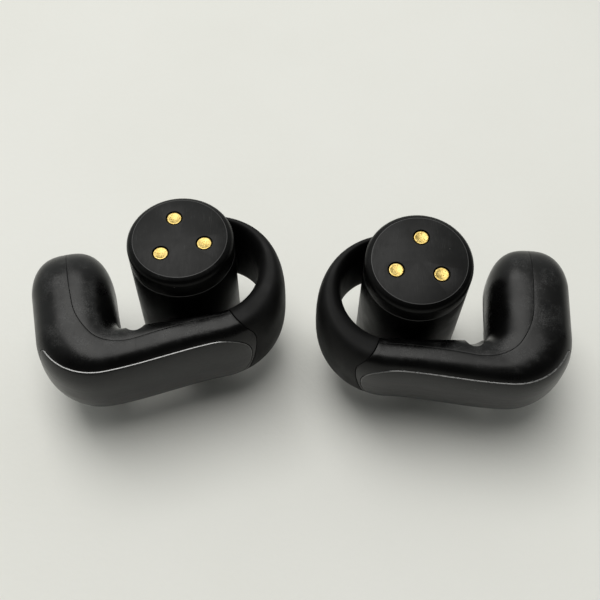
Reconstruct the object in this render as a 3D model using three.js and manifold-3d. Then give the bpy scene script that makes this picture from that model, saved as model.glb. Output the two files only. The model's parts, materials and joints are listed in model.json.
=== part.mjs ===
// A pair of open-ear clip earbuds. Each earbud is a battery barrel that sits behind the ear, a flexible silicone
// arm that goes round the edge of the ear, and a J-shaped speaker housing with a trim plate that sits in front of it.
// One earbud is modelled in its own frame: the origin is the centre of the barrel's button end, +Z runs up the
// barrel to the charging face, -Y points to the trim plate and -X to the speaker lobe. The other is its mirror image.
// Units are millimetres.
import * as THREE from "three";
import { mergeVertices } from "three/addons/utils/BufferGeometryUtils.js";
import Module from "manifold-3d";

const wasm = await Module();
wasm.setup();

// ---------------------------------------------------------------- driving dimensions
const BARREL = { radius: 5.9, length: 19, wall: 0.8, edge: 0.8, floor: 1 };
const CAP = { height: 2.7, flat: 5.15, roof: 0.9, skirt: 1, skirtWall: 0.6 };
const CONTACT = { radius: 0.8, circle: 2.8, stem: 0.45, sunk: 0.06, turn: 93.5 };
const BUTTON = { radius: 3.8, flange: 4.6, sunk: 0.15, travel: 0.3, stem: 0.8, stemEnd: 2 };
const LOBE = { inner: -8.4, outer: -17.7, shoulder: 0.2, reach: 5.5, low: 4.5, high: 15.2 };
const BODY = { inner: -6.5, innerBend: -6.05, outer: -12.3, outerEnd: -11.2, low: 4.4, high: 14.7 };
const BEND = { inner: 0.9, outer: 6.8 };
const ARM = { start: 2.5, innerX: 5.6, innerY: 5.2, outerX: 8.4, outerY: 8.1, low: 5.4, high: 16.1 };
const ARM_TURN = { from: -90, inner: 74, outer: 88 }; // degrees that the arm's inner and outer arcs run through
const WIRE = { radius: 0.36, spread: 0.6, z: 10.6, from: -84, to: 82 };
const CHANNEL = { radius: 0.6, tall: 1.25, from: -100, to: 95 };
const TRIM = { left: -18, right: 5.6, low: 4.9, high: 13.6, end: 4.4, edge: -7.4, thick: 0.45, share: 0.77 };
const PORT = { y: -1, z: 8, length: 4.6, width: 2, meshFace: -9, lip: 0.4 };
const DRIVER = { face: -10.9, y: -0.9, z: 9.7, radius: 3.5 };
const BOARD = { thick: 0.6, contact: 14.7, main: 11.7, button: 3.05 }; // underside of each round board
const BATTERY = { radius: 4.65, seal: 4.4, low: 3.9, shoulder: 8.6, high: 9.15 };
const GASKET = { inner: 5.25, outer: 5.65, depth: 0.4 };
const MIC = { x: -2, y: -9.4, hole: 0.3 };
const SCALLOP = { x: -6.8, y: -6.05, z: 13.56, radius: 1.2, tilt: 25 }; // notch in the body's inner edge by the bend

// Plan line where the silicone arm meets the housing, an S that leans back over the top of the body. Below a height
// the seam curves back towards the lobe, round the end of the trim plate.
const JOINT = [
  [3.2, -5.4], [3.85, -7.4], [4.3, -8.7], [4.9, -9.6], [5.6, -10], [6.25, -10.15], [6.45, -10.45], [6.4, -10.9],
  [6.4, -13],
];
const JOINT_CURVE = { from: 13.5, bend: 0.024 };

// Plan line between the inner cover and the outer housing: along the crown of the lobe, round the bend and back
// along the inner edge of the body
const PARTING = [
  [-12.95, 8], [-12.95, 2], [-12.9, -1.8], [-12.6, -4.7], [-11.3, -7.3], [-9.6, -8.5], [-7.4, -8.95], [-3.6, -8.45],
  [1, -8], [8, -7.8],
];

const SHELL_WALL = 1; // wall of the speaker housing
const ROUNDNESS = 2.8; // exponent of the band's superellipse section: 2 is an ellipse
const GAP = 0.06; // clearance between two separate pieces

// How each earbud stands: place on the table, turn about the vertical, and lean towards -Y
const STANCE = {
  left: { x: -13, y: 0.43, yaw: 12.5, lean: 0, mirror: 1 },
  right: { x: 13, y: -0.43, yaw: -2.7, lean: 7.4, mirror: -1 },
};

// ---------------------------------------------------------------- materials
const material = (color, roughness, metalness = 0) =>
  new THREE.MeshStandardMaterial({ color, roughness, metalness });
const MATERIALS = {
  satin: material(0x151617, 0.4),
  soft: material(0x17181a, 0.7),
  trim: material(0x2b2d2e, 0.25, 0.6),
  gold: material(0xe2bd6a, 0.3, 1),
  steel: material(0x9a9c9e, 0.35, 1),
  magnet: material(0xb9bcc0, 0.25, 1),
  board: material(0x1d4a31, 0.55),
  mesh: material(0x2a2a2c, 0.5, 0.8),
  wire: material(0x8a8478, 0.4, 0.9),
  cable: material(0xb0703a, 0.5, 0.3),
  film: material(0xc9b27a, 0.5),
};

// ---------------------------------------------------------------- solids
function solid(geometry) {
  const bare = geometry.clone();
  bare.deleteAttribute("normal");
  bare.deleteAttribute("uv");
  const merged = mergeVertices(bare, 1e-4);
  const index = merged.index.array;
  const kept = [];
  for (let i = 0; i < index.length; i += 3) {
    const [a, b, c] = [index[i], index[i + 1], index[i + 2]];
    if (a !== b && b !== c && a !== c) kept.push(a, b, c);
  }
  const vertProperties = merged.attributes.position.array;
  return new wasm.Manifold(new wasm.Mesh({ numProp: 3, vertProperties, triVerts: new Uint32Array(kept) }));
}

function geometryOf(made) {
  const { vertProperties, triVerts } = made.getMesh();
  const geometry = new THREE.BufferGeometry();
  geometry.setAttribute("position", new THREE.BufferAttribute(new Float32Array(vertProperties), 3));
  geometry.setIndex(new THREE.BufferAttribute(new Uint32Array(triVerts), 1));
  geometry.computeVertexNormals();
  return geometry;
}

const cut = (base, ...tools) => tools.reduce((left, tool) => left.subtract(tool), base);
const join = (base, ...more) => more.reduce((sum, piece) => sum.add(piece), base);
const common = (base, ...others) => others.reduce((left, other) => left.intersect(other), base);

// A solid of revolution about Z from [radius, z] points, listed up the outside.
function turned(points, segments = 22) {
  const profile = points.map(([r, z]) => new THREE.Vector2(r, z));
  return solid(new THREE.LatheGeometry(profile, segments).rotateX(Math.PI / 2));
}

// A turned ring with a rectangular section.
const ring = (inner, outer, low, high, segments) =>
  turned([[inner, low], [outer, low], [outer, high], [inner, high], [inner, low]], segments);

// A turned disc.
const disc = (radius, low, high, segments) =>
  turned([[0, low], [radius, low], [radius, high], [0, high]], segments);

// A box given by its lowest and highest corner.
function block([x0, y0, z0], [x1, y1, z1]) {
  const box = new THREE.BoxGeometry(x1 - x0, y1 - y0, z1 - z0);
  return solid(box.translate((x0 + x1) / 2, (y0 + y1) / 2, (z0 + z1) / 2));
}

// The upright prism over an outline of [x, y] points.
function prism(points, low, high, steps = 1) {
  const shape = new THREE.Shape(points.map(([x, y]) => new THREE.Vector2(x, y)));
  const geometry = new THREE.ExtrudeGeometry(shape, { depth: high - low, bevelEnabled: false, steps });
  return solid(geometry.translate(0, 0, low));
}

// A stadium outline: two half circles joined by straight sides, long along the first axis.
function stadium(length, width, steps) {
  const shape = new THREE.Shape();
  const half = (length - width) / 2;
  shape.absarc(half, 0, width / 2, -Math.PI / 2, Math.PI / 2, false);
  shape.absarc(-half, 0, width / 2, Math.PI / 2, (3 * Math.PI) / 2, false);
  return { shape, options: { bevelEnabled: false, curveSegments: steps } };
}

const lerp = THREE.MathUtils.lerp;
const smooth = (t) => t * t * (3 - 2 * t);
const rad = THREE.MathUtils.degToRad;

// ---------------------------------------------------------------- the band
// One band makes the lobe, the bend, the body and the arm. It is a list of upright stations from the lobe's tip to
// the barrel. A station has a point on the band's inner face, one on its outer face, and its lowest and highest z.
const STEPS = { tip: 5, lobe: 2, bend: 6, body: 2, arm: 11 };

// The same run of the band with every face moved inwards.
const insetRun = ({ inner, outer, low, high }, inset) =>
  ({ inner: inner - inset, outer: outer + inset, low: low + inset, high: high - inset });

// The rounded tip of the lobe, which swells from near a point to the lobe's full section.
function tipStations(lobe, inset) {
  const first = 0.35; // part of a step from the very tip to the first station
  const fullness = 0.85; // below 1 makes the tip blunter than an ellipse
  const middle = (lobe.inner + lobe.outer) / 2;
  const centreZ = (lobe.low + lobe.high) / 2;
  return Array.from({ length: STEPS.tip }, (_, i) => {
    const angle = ((i + first) / (STEPS.tip + first)) * (Math.PI / 2);
    const swell = Math.sin(angle) ** fullness;
    const y = LOBE.shoulder + (LOBE.reach - inset) * Math.cos(angle);
    const half = ((lobe.inner - lobe.outer) / 2) * swell;
    const tall = ((lobe.high - lobe.low) / 2) * swell;
    return { inner: [middle + half, y], outer: [middle - half, y], low: centreZ - tall, high: centreZ + tall };
  });
}

// The straight stretch of the lobe, from the tip to the bend.
function lobeStations({ inner, outer, low, high }) {
  return Array.from({ length: STEPS.lobe }, (_, i) => {
    const t = i / STEPS.lobe;
    const innerY = lerp(LOBE.shoulder, BODY.innerBend + BEND.inner, t);
    const outerY = lerp(LOBE.shoulder, BODY.outer + BEND.outer, t);
    return { inner: [inner, innerY], outer: [outer, outerY], low, high };
  });
}

// The bend, where the outer face turns on a much larger radius than the inner one.
function bendStations(lobe, body, inset) {
  const turn = (centreX, centreY, radius, angle) =>
    [centreX + radius * Math.cos(angle), centreY + radius * Math.sin(angle)];
  return Array.from({ length: STEPS.bend + 1 }, (_, i) => {
    const t = i / STEPS.bend;
    const angle = rad(lerp(180, 270, t));
    return {
      inner: turn(LOBE.inner + BEND.inner, BODY.innerBend + BEND.inner, BEND.inner + inset, angle),
      outer: turn(LOBE.outer + BEND.outer, BODY.outer + BEND.outer, BEND.outer - inset, angle),
      low: lerp(lobe.low, body.low, smooth(t)),
      high: lerp(lobe.high, body.high, smooth(t)),
    };
  });
}

// The straight body, whose inner face leaves the barrel and whose outer face closes in slightly towards the arm.
function bodyStations({ inner, outer, low, high }, inset) {
  return Array.from({ length: STEPS.body - 1 }, (_, i) => {
    const t = (i + 1) / STEPS.body;
    const innerX = lerp(LOBE.inner + BEND.inner, ARM.start, t);
    const outerX = lerp(LOBE.outer + BEND.outer, ARM.start, t);
    const innerY = lerp(BODY.innerBend - inset, inner, t);
    return { inner: [innerX, innerY], outer: [outerX, lerp(outer, BODY.outerEnd + inset, t)], low, high };
  });
}

// A point of the arm's inner arc, or of its outer arc, which ends a little beyond the inner one.
function armInner(t, inset = 0) {
  const angle = rad(lerp(ARM_TURN.from, ARM_TURN.inner, t));
  const y = BODY.inner + ARM.innerY + (ARM.innerY + inset) * Math.sin(angle);
  return [ARM.start + (ARM.innerX + inset) * Math.cos(angle), y];
}

function armOuter(t, inset = 0) {
  const angle = rad(lerp(ARM_TURN.from, ARM_TURN.outer, t));
  const y = BODY.outerEnd + ARM.outerY + (ARM.outerY - inset) * Math.sin(angle);
  return [ARM.start + (ARM.outerX - inset) * Math.cos(angle), y];
}

// The arm, which closes on the barrel and rises to its own height over the first three quarters of its length.
function armStations(body, inset) {
  const riseEnd = 0.75;
  return Array.from({ length: STEPS.arm + 1 }, (_, i) => {
    const t = i / STEPS.arm;
    const risen = smooth(Math.min(1, t / riseEnd));
    const low = lerp(body.low, ARM.low + inset, risen);
    const high = lerp(body.high, ARM.high - inset, risen);
    return { inner: armInner(t, inset), outer: armOuter(t, inset), low, high };
  });
}

function bandStations(inset) {
  const lobe = insetRun(LOBE, inset);
  const body = insetRun(BODY, inset);
  return [
    ...tipStations(lobe, inset),
    ...lobeStations(lobe),
    ...bendStations(lobe, body, inset),
    ...bodyStations(body, inset),
    ...armStations(body, inset),
  ];
}

// The closed superellipse ring of one station.
function stationRing({ inner, outer, low, high }, sides) {
  const points = [];
  const power = 2 / ROUNDNESS;
  for (let i = 0; i < sides; i++) {
    const angle = (i / sides) * 2 * Math.PI;
    const across = Math.sign(Math.cos(angle)) * Math.abs(Math.cos(angle)) ** power;
    const up = Math.sign(Math.sin(angle)) * Math.abs(Math.sin(angle)) ** power;
    const t = (1 + across) / 2;
    points.push([lerp(inner[0], outer[0], t), lerp(inner[1], outer[1], t), lerp(low, high, (1 + up) / 2)]);
  }
  return points;
}

// A closed solid through rings of equal length, with a point cap at each end.
function loft(rings) {
  const sides = rings[0].length;
  const vertices = rings.flat();
  const index = [];
  const centre = (points) => [0, 1, 2].map((k) => points.reduce((sum, p) => sum + p[k], 0) / points.length);
  for (let r = 0; r + 1 < rings.length; r++)
    for (let i = 0; i < sides; i++) {
      const [a, b] = [r * sides + i, r * sides + ((i + 1) % sides)];
      index.push(a, a + sides, b, b, a + sides, b + sides);
    }
  const first = vertices.push(centre(rings[0])) - 1;
  const last = vertices.push(centre(rings.at(-1))) - 1;
  const end = (rings.length - 1) * sides;
  for (let i = 0; i < sides; i++) {
    const next = (i + 1) % sides;
    index.push(first, i, next);
    index.push(last, end + next, end + i);
  }
  const geometry = new THREE.BufferGeometry();
  geometry.setAttribute("position", new THREE.BufferAttribute(new Float32Array(vertices.flat()), 3));
  geometry.setIndex(index);
  const made = solid(geometry);
  if (made.volume() > 0) return made;
  geometry.setIndex(index.reverse());
  return solid(geometry);
}

const band = (inset, sides = 18) => loft(bandStations(inset).map((station) => stationRing(station, sides)));

const jointLine = new THREE.SplineCurve(JOINT.map(([x, y]) => new THREE.Vector2(x, y))).getPoints(17);
const TALL = [0, 20]; // low and high z of the prisms that divide the band
const HOLLOW = [-6.9, 8]; // a plan point between the lobe and the barrel, clear of the band

// A tall prism whose heights slide sideways to follow the arm's seam.
function seamPrism(outline) {
  const levels = 5;
  return prism(outline, ...TALL, levels).warp((point) => {
    point[0] -= JOINT_CURVE.bend * Math.max(0, JOINT_CURVE.from - point[2]) ** 2;
  });
}

function housingSide(back) {
  const line = jointLine.map(({ x, y }) => [x - back, y]);
  return seamPrism([...line, [-20, -14], [-20, 8], HOLLOW, [HOLLOW[0], JOINT[0][1]]]);
}

function armSide(forward) {
  const line = jointLine.map(({ x, y }) => [x + forward, y]);
  return seamPrism([...line, [18, -14], [18, 9], [1, 9], [1, -4], [JOINT[0][0] + forward, -4]]);
}

function partingLine(shift) {
  const points = PARTING.map(([x, y]) => new THREE.Vector2(x + shift, y + shift));
  return new THREE.SplineCurve(points).getPoints(23).map(({ x, y }) => [x, y]);
}

const coverSide = () => prism([...partingLine(GAP / 2), [8, -5], [HOLLOW[0], -5], HOLLOW], ...TALL);
const plateSide = () => prism([...partingLine(-GAP / 2), [8, -14], [-20, -14], [-20, 8]], ...TALL);

// ---------------------------------------------------------------- speaker housing
// The trim plate's outline, seen from the front: a level top edge and a rounded arm end. Round the bend it ends on
// the lobe's outer face.
function trimPrism(grow) {
  const { left, right, low, high, end, edge } = TRIM;
  const [top, bottom, side, start] = [high + grow, low - grow, right + grow, right - end];
  const tipZ = high - 3.6; // height of the rounded end's furthest point
  const shape = new THREE.Shape();
  shape.moveTo(left, top);
  shape.lineTo(start, top);
  shape.bezierCurveTo(start + 2.6, top, side, high - 1.2, side, tipZ);
  shape.bezierCurveTo(side, bottom + 2.4, start + 3, bottom, start, bottom);
  shape.lineTo(left, bottom);
  const geometry = new THREE.ExtrudeGeometry(shape, { bevelEnabled: false, curveSegments: 5, depth: 8 });
  return solid(geometry.rotateX(Math.PI / 2).translate(0, edge + grow, 0));
}

// Everything outside a plan line that runs along the band at a share of its width. It keeps the plate from
// reaching under the body.
function trimSide(grow) {
  const bandWidth = 5;
  const share = TRIM.share - grow / bandWidth;
  const stations = bandStations(0).slice(STEPS.tip, -Math.floor(STEPS.arm / 2));
  const line = stations.map(({ inner, outer }) => [lerp(inner[0], outer[0], share), lerp(inner[1], outer[1], share)]);
  return prism([...line, [14, -14], [-20, -14], [-20, 0]], ...TALL);
}

function portPrism(grow, from, to) {
  const { shape, options } = stadium(PORT.length + 2 * grow, PORT.width + 2 * grow, 6);
  const geometry = new THREE.ExtrudeGeometry(shape, { ...options, depth: to - from });
  geometry.rotateX(Math.PI / 2).rotateZ(Math.PI / 2);
  return solid(geometry.translate(from, PORT.y, PORT.z));
}

const micPort = () => disc(MIC.hole, 3, 7, 12).translate(MIC.x, MIC.y, 0);
const armChannel = () => sweepAlongArm(CHANNEL.radius, 0, CHANNEL.from, CHANNEL.to, CHANNEL.tall);

function housingShell() {
  const jointWall = 1.3; // wall left at the arm's end of the housing
  const cavity = common(band(SHELL_WALL, 12), housingSide(jointWall));
  return cut(common(band(0), housingSide(GAP / 2)), cavity, armChannel());
}

function outerHousing(shell) {
  const recess = cut(common(trimPrism(GAP), trimSide(GAP)), band(TRIM.thick + GAP));
  return cut(common(shell, plateSide()), recess, micPort());
}

function innerCover(shell) {
  const ledgeDepth = 1;
  const port = portPrism(0, -12.2, -7.5);
  const ledge = portPrism(PORT.lip, PORT.meshFace - ledgeDepth, PORT.meshFace);
  const { x, y, z, radius, tilt } = SCALLOP;
  const scallop = disc(radius, -3, 3, 20).rotate([tilt, 0, 0]).translate([x, y, z]);
  return cut(common(shell, coverSide()), port, ledge, scallop);
}

const trimPlate = () => cut(common(band(0), trimPrism(0), trimSide(0)), band(TRIM.thick));
const nozzleMesh = () => portPrism(PORT.lip - GAP, PORT.meshFace - 0.4, PORT.meshFace - GAP);

// ---------------------------------------------------------------- speaker parts
// Driver parts are turned about Z and laid along -X, so their first end faces the nozzle.
const layDriver = (made) => made.rotate([0, -90, 0]).translate([DRIVER.face, DRIVER.y, DRIVER.z]);

function driverFrame() {
  const r = DRIVER.radius;
  const rim = r - 0.6;
  const seat = r - 1.4;
  return layDriver(turned([
    [rim, 0], [r, 0], [r, 1.4], [r - 0.7, 2.4], [seat, 2.4], [seat, 2], [r - 0.9, 2], [rim, 1.2], [rim, 0],
  ]));
}

function diaphragm() {
  const film = 0.15;
  const front = [[0, 0.9], [1.3, 0.75], [1.6, 0.45], [2.3, 0.65], [2.8, 0.4]];
  const back = front.map(([r, z]) => [r, z + film]).reverse();
  return layDriver(turned([...front, ...back]));
}

function driverMagnet() {
  const [core, yoke] = [1.1, 2.4];
  return layDriver(turned([[0, 1.3], [core, 1.3], [core, 2.5], [yoke, 2.5], [yoke, 3.9], [0, 3.9]]));
}

// The board behind the trim plate, with the touch chip on its outer side.
function speakerBoard() {
  const board = block([-8.5, MIC.y, 6.6], [1, MIC.y + 0.5, 12.6]);
  const chip = block([-5, MIC.y - 0.5, 8], [-3.2, MIC.y + 0.1, 10.4]);
  return join(board, chip);
}

const frontMic = () => block([MIC.x - 1.4, MIC.y - 0.45, 6.05], [MIC.x + 1.4, MIC.y + 0.4, 6.55]);

// ---------------------------------------------------------------- arm
// A rounded rod that follows the middle of the arm between two angles of its arc.
function sweepAlongArm(radius, lift, from, to, tall = radius) {
  const angleStep = 5;
  const points = [];
  for (let angle = from; angle <= to; angle += angleStep) {
    const t = (angle - ARM_TURN.from) / (ARM_TURN.outer - ARM_TURN.from);
    const [inner, outer] = [armInner(t), armOuter(t)];
    points.push(new THREE.Vector3((inner[0] + outer[0]) / 2, (inner[1] + outer[1]) / 2, 0));
  }
  const path = new THREE.CatmullRomCurve3(points);
  const shape = new THREE.Shape().absellipse(0, 0, tall, radius, 0, 2 * Math.PI, false);
  const geometry = new THREE.ExtrudeGeometry(shape, { steps: 12, curveSegments: 4, extrudePath: path });
  return solid(geometry.translate(0, 0, WIRE.z + lift));
}

const barrelBlank = (grow) => disc(BARREL.radius + grow, -1, BARREL.length + 1, 36);
const armSleeve = () => cut(common(band(0), armSide(GAP / 2)), barrelBlank(GAP), armChannel());
const armSpring = () => sweepAlongArm(WIRE.radius, WIRE.spread, WIRE.from, WIRE.to);
const armCable = () => sweepAlongArm(WIRE.radius, -WIRE.spread, WIRE.from, WIRE.to);

// ---------------------------------------------------------------- barrel
const capLow = BARREL.length - CAP.height;

// The points of a quarter round from the bottom of a cylinder of radius r, or to its top.
function quarter(radius, edge, z, from, steps = 3) {
  return Array.from({ length: steps + 1 }, (_, i) => {
    const angle = rad(from + (i * 90) / steps);
    return [radius - edge + edge * Math.cos(angle), z + edge * Math.sin(angle)];
  });
}

function barrelShell() {
  const { radius, wall, edge, floor } = BARREL;
  const top = capLow - GAP / 2;
  const bore = radius - wall;
  const hole = BUTTON.radius + 0.15;
  const shell = turned([
    [hole, 0], ...quarter(radius, edge, edge, -90), [radius, top],
    [GASKET.outer + GAP, top], [GASKET.outer + GAP, top - GASKET.depth],
    [bore, top - GASKET.depth], [bore, floor], [hole, floor], [hole, 0],
  ], 36);
  return cut(shell, armChannel());
}

const contactPlaces = [0, 1, 2].map((i) => {
  const angle = rad(CONTACT.turn + 120 * i);
  return [CONTACT.circle * Math.cos(angle), CONTACT.circle * Math.sin(angle), 0];
});

function chargingCap() {
  const { radius, length, wall } = BARREL;
  const low = capLow + GAP / 2;
  const skirt = radius - wall - GAP;
  const edge = radius - CAP.flat;
  const cap = turned([
    [skirt - CAP.skirtWall, low - CAP.skirt], [skirt, low - CAP.skirt], [skirt, low], [radius, low],
    ...quarter(radius, edge, length - edge, 0), [0, length], [0, length - CAP.roof],
    [skirt - CAP.skirtWall, length - CAP.roof], [skirt - CAP.skirtWall, low - CAP.skirt],
  ], 36);
  const holes = contactPlaces.map((place) => disc(CONTACT.radius + GAP, 17, 20, 14).translate(place));
  return cut(cap, ...holes);
}

// A headed pin that stands on the contact board.
function contactPin(place) {
  const top = BARREL.length - CONTACT.sunk;
  const { radius, stem } = CONTACT;
  const low = BOARD.contact + BOARD.thick + GAP;
  const neck = top - CAP.roof - 0.3;
  const head = neck + 0.25;
  const pin = turned([[0, low], [stem, low], [stem, neck], [radius, head], [radius, top], [0, top]], 14);
  return pin.translate(place);
}

const magnetLow = BOARD.contact - 1.3;
const board = (radius, low) => disc(radius, low, low + BOARD.thick);
const capGasket = () => ring(GASKET.inner, GASKET.outer, capLow - GASKET.depth, capLow - GAP, 28);
const contactBoard = () => board(4.8, BOARD.contact);
const retentionMagnet = () => disc(3.2, magnetLow, BOARD.contact - GAP);
const mainBoard = () => cut(board(4.9, BOARD.main), block([2.4, 2.4, 9], [6, 6, 13.2]));
const shieldCan = () => block([-2.6, -2.6, BOARD.main + BOARD.thick + GAP], [2.2, 2.2, magnetLow - GAP]);
const buttonBoard = () => board(4.9, BOARD.button);

// The clamp that holds the spring's end inside the barrel, a segment of a ring.
const armAnchor = () => cut(common(ring(3.3, 5, 9.35, 11.6, 28), block([1.6, 1.6, 9], [6, 6, 12])), armChannel());

function batteryCell() {
  const { radius, seal, low, shoulder, high } = BATTERY;
  return turned([
    [0, low], [radius - 0.35, low], [radius, low + 0.4], [radius, shoulder], [seal, shoulder + 0.15], [seal, high],
    [0, high],
  ]);
}

// The dome is clear of the button's stem by the button's travel.
function domeSwitch() {
  const tip = BUTTON.stemEnd + BUTTON.travel + 0.12;
  const base = BOARD.button - 0.05;
  return turned([[0, tip], [0.7, tip + 0.03], [1.5, tip + 0.28], [1.8, base], [0, base]], 16);
}

function buttonSeal() {
  return ring(BUTTON.flange + 0.1, BARREL.radius - BARREL.wall - GAP, BARREL.floor + GAP, 1.7, 26);
}

function buttonCap() {
  const { radius, flange, sunk, stem, stemEnd } = BUTTON;
  const seat = BARREL.floor + GAP;
  const back = seat + 0.5;
  return turned([
    [0, sunk + 0.25], [1.2, sunk + 0.12], [radius - 0.3, sunk], [radius, sunk + 0.3], [radius, seat],
    [flange, seat], [flange, back], [stem, back], [stem, stemEnd], [0, stemEnd],
  ]);
}

// A strip of antenna film on the barrel's inner wall, on the side away from the arm.
const antenna = () => common(ring(4.85, 5.02, 4.6, 9.2, 28), block([-6, -6, 4], [0, 3, 10]));

// ---------------------------------------------------------------- assembly
function earbudPieces() {
  const shell = housingShell();
  const pins = contactPlaces.map((place, i) => [`contact_pin_${i + 1}`, contactPin(place), MATERIALS.gold]);
  return [
    ["barrel_shell", barrelShell(), MATERIALS.satin],
    ["charging_cap", chargingCap(), MATERIALS.satin],
    ...pins,
    ["cap_gasket", capGasket(), MATERIALS.soft],
    ["contact_board", contactBoard(), MATERIALS.board],
    ["retention_magnet", retentionMagnet(), MATERIALS.magnet],
    ["shield_can", shieldCan(), MATERIALS.steel],
    ["main_board", mainBoard(), MATERIALS.board],
    ["battery_cell", batteryCell(), MATERIALS.steel],
    ["button_board", buttonBoard(), MATERIALS.board],
    ["dome_switch", domeSwitch(), MATERIALS.steel],
    ["button_cap", buttonCap(), MATERIALS.satin],
    ["button_seal", buttonSeal(), MATERIALS.soft],
    ["antenna_film", antenna(), MATERIALS.film],
    ["arm_anchor", armAnchor(), MATERIALS.satin],
    ["arm_sleeve", armSleeve(), MATERIALS.soft],
    ["arm_spring", armSpring(), MATERIALS.wire],
    ["arm_cable", armCable(), MATERIALS.cable],
    ["outer_housing", outerHousing(shell), MATERIALS.satin],
    ["inner_cover", innerCover(shell), MATERIALS.satin],
    ["trim_plate", trimPlate(), MATERIALS.trim],
    ["nozzle_mesh", nozzleMesh(), MATERIALS.mesh],
    ["driver_frame", driverFrame(), MATERIALS.steel],
    ["driver_diaphragm", diaphragm(), MATERIALS.film],
    ["driver_magnet", driverMagnet(), MATERIALS.magnet],
    ["speaker_board", speakerBoard(), MATERIALS.board],
    ["front_mic", frontMic(), MATERIALS.gold],
  ];
}

function earbud(side, pieces) {
  const { x, y, yaw, lean, mirror } = STANCE[side];
  const stance = new THREE.Group();
  const foot = BARREL.radius - BARREL.edge; // the flat rim of the button end, which touches the table when it leans
  stance.position.set(x, y, foot * Math.sin(rad(lean)));
  stance.rotation.set(rad(lean), 0, rad(yaw));
  stance.scale.x = mirror;
  for (const [name, made, look] of pieces) {
    const mesh = new THREE.Mesh(geometryOf(made.simplify(0.02)), look);
    mesh.name = `${side}_${name}`;
    stance.add(mesh);
  }
  return stance;
}

const pieces = earbudPieces();
const pair = new THREE.Group();
pair.add(earbud("left", pieces), earbud("right", pieces));

// The frame's origin is on the table under the middle of the pair.
pair.updateMatrixWorld(true);
const box = new THREE.Box3().setFromObject(pair, true);
const middle = box.getCenter(new THREE.Vector3());
pair.position.set(-middle.x, -middle.y, -box.min.z);

export default pair;
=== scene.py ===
import json
import math

import bmesh
import bpy
import numpy as np
from mathutils import Matrix, Vector


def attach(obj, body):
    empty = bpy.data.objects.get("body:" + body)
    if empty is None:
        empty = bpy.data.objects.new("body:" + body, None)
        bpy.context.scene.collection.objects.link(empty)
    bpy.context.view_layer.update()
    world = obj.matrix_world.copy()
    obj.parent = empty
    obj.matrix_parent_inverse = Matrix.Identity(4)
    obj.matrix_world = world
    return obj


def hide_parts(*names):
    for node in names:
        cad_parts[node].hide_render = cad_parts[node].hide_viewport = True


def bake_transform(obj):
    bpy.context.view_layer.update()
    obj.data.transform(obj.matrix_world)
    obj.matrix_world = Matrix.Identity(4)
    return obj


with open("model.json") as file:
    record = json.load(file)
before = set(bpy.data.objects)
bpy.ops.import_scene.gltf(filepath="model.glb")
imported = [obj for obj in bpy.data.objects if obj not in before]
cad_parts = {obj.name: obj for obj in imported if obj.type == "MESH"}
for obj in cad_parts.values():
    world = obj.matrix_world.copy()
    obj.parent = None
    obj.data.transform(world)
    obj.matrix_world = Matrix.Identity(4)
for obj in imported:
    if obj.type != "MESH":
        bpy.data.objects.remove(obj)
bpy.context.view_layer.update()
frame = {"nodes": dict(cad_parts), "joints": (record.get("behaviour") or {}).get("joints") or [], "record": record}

MM = 0.001
SIDES = ("left", "right")

# ---------------------------------------------------------------- driving dimensions, in millimetres
BARREL = dict(radius=5.9, length=19.0, wall=0.8, edge=0.8, floor=1.0, lip=0.1)
CAP = dict(height=2.7, flat=5.15, roof=0.9, skirt=1.0, skirt_wall=0.6, shoulder=0.9, bevel=0.03)
CONTACT = dict(radius=0.8, circle=2.8, stem=0.45, sunk=0.06, turn=93.5)
BUTTON = dict(radius=3.8, flange=4.6, sunk=0.15, stem=0.8, stem_end=2.0)
GASKET = dict(outer=5.65, depth=0.4)
CONTACT_BOARD_TOP = 15.3
LOBE = dict(inner=-8.4, outer=-17.7, shoulder=0.2, reach=5.5, low=4.5, high=15.2)
BODY = dict(inner=-6.5, inner_bend=-6.05, outer=-12.3, outer_end=-11.2, low=4.4, high=14.7)
BEND = dict(inner=0.9, outer=6.8)
ARM = dict(start=2.5, inner_x=5.6, inner_y=5.2, outer_x=8.4, outer_y=8.1, low=5.4, high=16.1)
ARM_TURN = dict(start=-90.0, inner=74.0, outer=88.0)
TRIM = dict(edge=-7.4, right=5.6, low=4.9, high=13.6, end=4.4, tip=10.0, thick=0.45)
PORT = dict(y=-1.0, z=8.0, length=4.6, width=2.0, face=-9.0, lip=0.4)
MIC = dict(x=-2.0, y=-9.4, radius=0.3)
SCALLOP = dict(x=-6.5, y=-6.05, z=13.56, radius=1.2, tilt=25)
WIRE = dict(radius=0.36, spread=0.6, z=10.6, start=-84.0, end=82.0)
CHANNEL = dict(radius=0.6, tall=1.25)
FLEX_PIVOT = (9.4, -1.5)  # the arm's bending axis in plan
SHELL_WALL = 1.0
FIT = 0.06  # gap between two pieces that fit together
ROUNDNESS = 2.8  # exponent of the band's superellipse section
SEAM = 0.07  # width of the seam between two outer pieces
ROLL = 0.08  # radius of the rounded edge along a seam
PARTING_SEAM = 0.02  # width of the finer seam between the inner cover and the outer housing
PARTING_ROLL = 0.035  # radius of the rounded edge along that seam

# Plan line where the silicone arm meets the housing, an S that leans back over the top of the body. Below the
# curve's start the seam bends back towards the lobe, round the end of the trim plate.
JOINT = [
    (3.2, -5.4), (3.85, -7.4), (4.3, -8.7), (4.9, -9.6), (5.6, -10), (6.25, -10.15), (6.45, -10.45),
    (6.4, -10.9), (6.4, -13),
]
JOINT_CURVE = dict(start=13.5, bend=0.024)
# Plan line between the inner cover and the outer housing
PARTING = [
    (-12.95, 8), (-12.95, 2), (-12.9, -1.8), (-12.6, -4.7), (-11.3, -7.3), (-9.6, -8.5), (-7.4, -8.95),
    (-3.6, -8.45), (1, -8), (8, -7.8),
]


def lerp(a, b, t):
    return a + (b - a) * t


def smooth(t):
    return t * t * (3 - 2 * t)


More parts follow.
